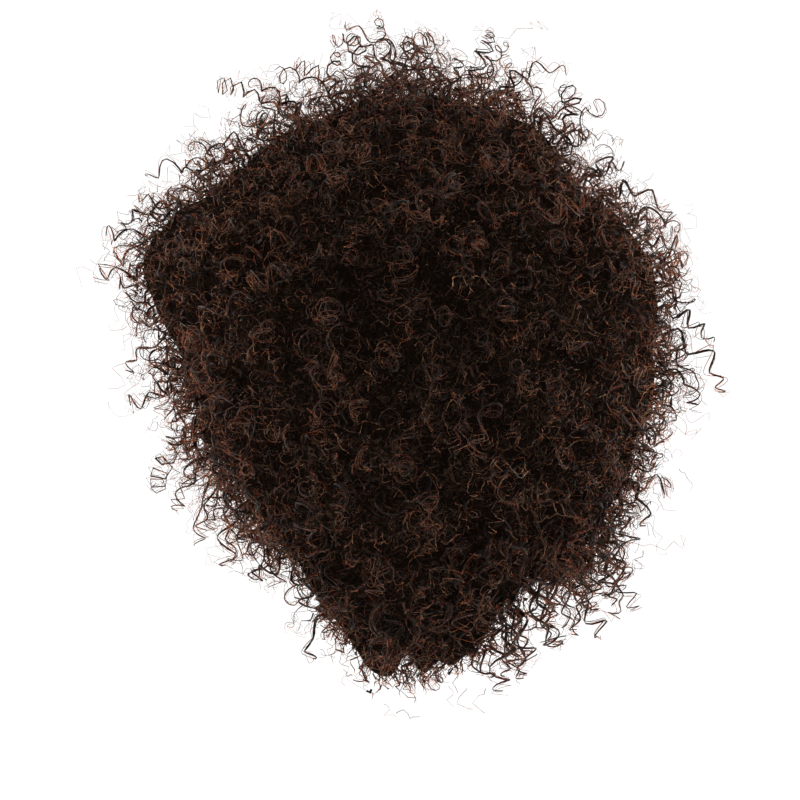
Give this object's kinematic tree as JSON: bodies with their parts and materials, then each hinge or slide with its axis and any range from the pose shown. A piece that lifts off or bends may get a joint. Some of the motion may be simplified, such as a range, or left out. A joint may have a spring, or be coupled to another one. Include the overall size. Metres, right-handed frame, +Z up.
{
  "type": "real hair wig",
  "caption": "Wig of dense, springy, dark brown coily hair: a hollow stretch cap open at the face and neck, covered by sections of curls that stand up at the crown and hang at the nape.",
  "frame": {"origin": "point inside the cap where the crown of the head bears", "axes": "+Z up out of the crown, -Y the way the wearer looks, +X the wearer's left"},
  "size_m": [0.4048, 0.395, 0.4324],
  "materials": {
    "cap_net": "dark stretch net with sewn wefts",
    "hair": "coily human hair, brown black with reddish brown tips"
  },
  "bodies": {
    "root": {"cap": "cap_net", "hair_crown": "hair", "hair_front": "hair", "hair_left": "hair", "hair_right": "hair", "hair_back": "hair", "hair_nape": "hair"}
  },
  "joints": []
}
